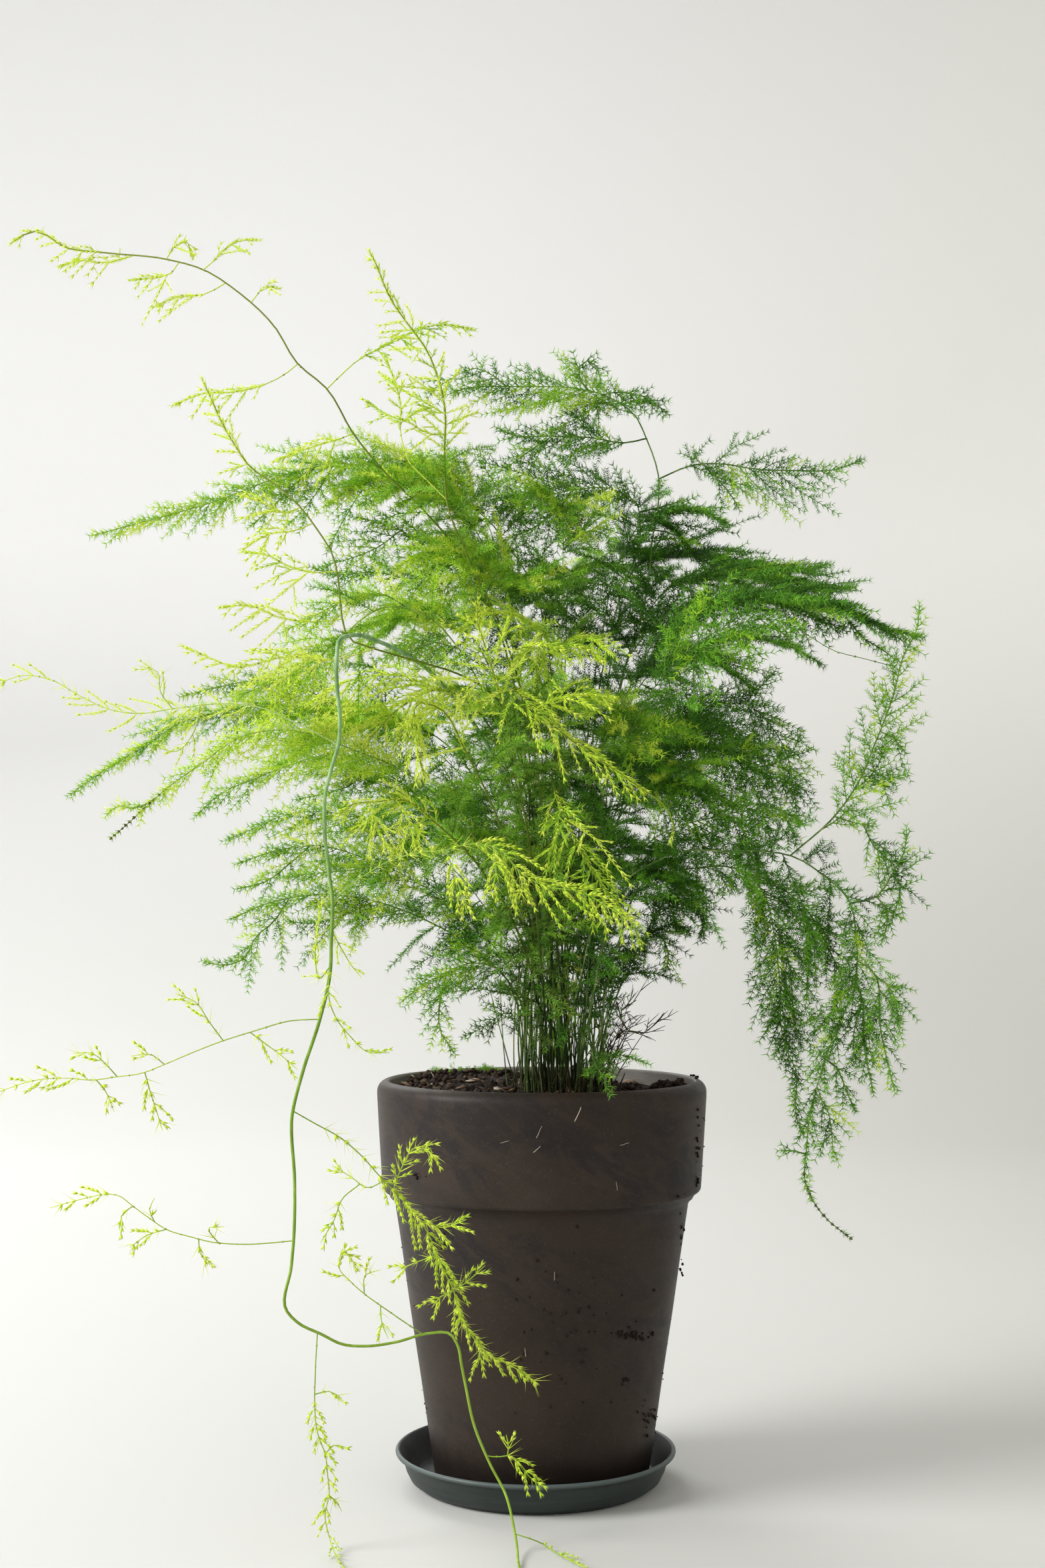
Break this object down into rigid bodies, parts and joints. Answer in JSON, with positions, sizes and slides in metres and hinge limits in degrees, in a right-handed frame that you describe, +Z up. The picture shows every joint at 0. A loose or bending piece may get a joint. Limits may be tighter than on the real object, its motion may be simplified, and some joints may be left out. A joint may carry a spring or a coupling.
{
  "type": "potted lace fern",
  "caption": "Bushy lace fern with arching feathery plumes and a long trailing vine, in a tall tapered clay pot with a wide collar, standing in a round plastic saucer.",
  "frame": {"origin": "on the underside of the saucer, below the middle of the pot", "axes": "+Z is up, -Y is the side that the picture shows, and +X is its right"},
  "size_m": [0.4239, 0.3891, 0.5964],
  "materials": {
    "foliage_old": "matte",
    "foliage_mid": "matte",
    "foliage_young": "matte",
    "vine": "satin",
    "dry_stalk": "matte",
    "clay": "matte",
    "soil": "matte",
    "saucer_plastic": "satin"
  },
  "bodies": {
    "root": {"dead_twigs": "dry_stalk", "long_vine": "vine", "pot": "clay", "saucer": "saucer_plastic", "soil": "soil", "stem_back_1": "foliage_old", "stem_back_2": "foliage_old", "stem_back_3": "foliage_mid", "stem_back_4": "foliage_old", "stem_back_5": "foliage_old", "stem_back_6": "foliage_mid", "stem_back_7": "foliage_old", "stem_back_8": "foliage_mid", "stem_front_buds": "foliage_young", "stem_front_hanging": "foliage_young", "stem_front_left": "foliage_young", "stem_front_low": "foliage_mid", "stem_front_lower_left": "foliage_young", "stem_front_right": "foliage_young", "stem_front_upper": "foliage_young", "stem_high_middle": "foliage_old", "stem_high_right": "foliage_old", "stem_left_arch": "foliage_mid", "stem_left_far": "foliage_old", "stem_left_inner": "foliage_old", "stem_left_low": "foliage_old", "stem_left_lower": "foliage_old", "stem_left_lowest": "foliage_old", "stem_left_mid": "foliage_mid", "stem_left_top": "foliage_old", "stem_left_upshoot": "foliage_young", "stem_low_back": "foliage_old", "stem_low_front": "foliage_mid", "stem_low_left": "foliage_mid", "stem_low_right": "foliage_old", "stem_low_small": "foliage_mid", "stem_middle_1": "foliage_mid", "stem_middle_2": "foliage_mid", "stem_middle_3": "foliage_young", "stem_middle_4": "foliage_young", "stem_middle_5": "foliage_mid", "stem_middle_6": "foliage_old", "stem_right_back": "foliage_old", "stem_right_dark": "foliage_old", "stem_right_drooping": "foliage_old", "stem_right_front": "foliage_old", "stem_right_low": "foliage_old", "stem_right_lower": "foliage_old", "stem_right_mid": "foliage_old", "stem_right_mid_low": "foliage_old", "stem_right_mid_up": "foliage_old", "stem_right_top": "foliage_old", "stem_right_upper": "foliage_old", "stem_right_wiry": "foliage_old", "stem_rim_sprig": "foliage_mid", "stem_top_1": "foliage_mid", "stem_top_2": "foliage_old", "stem_top_3": "foliage_mid", "stem_top_shoot": "foliage_young", "stem_upper_left_vine": "foliage_young"}
  },
  "joints": []
}
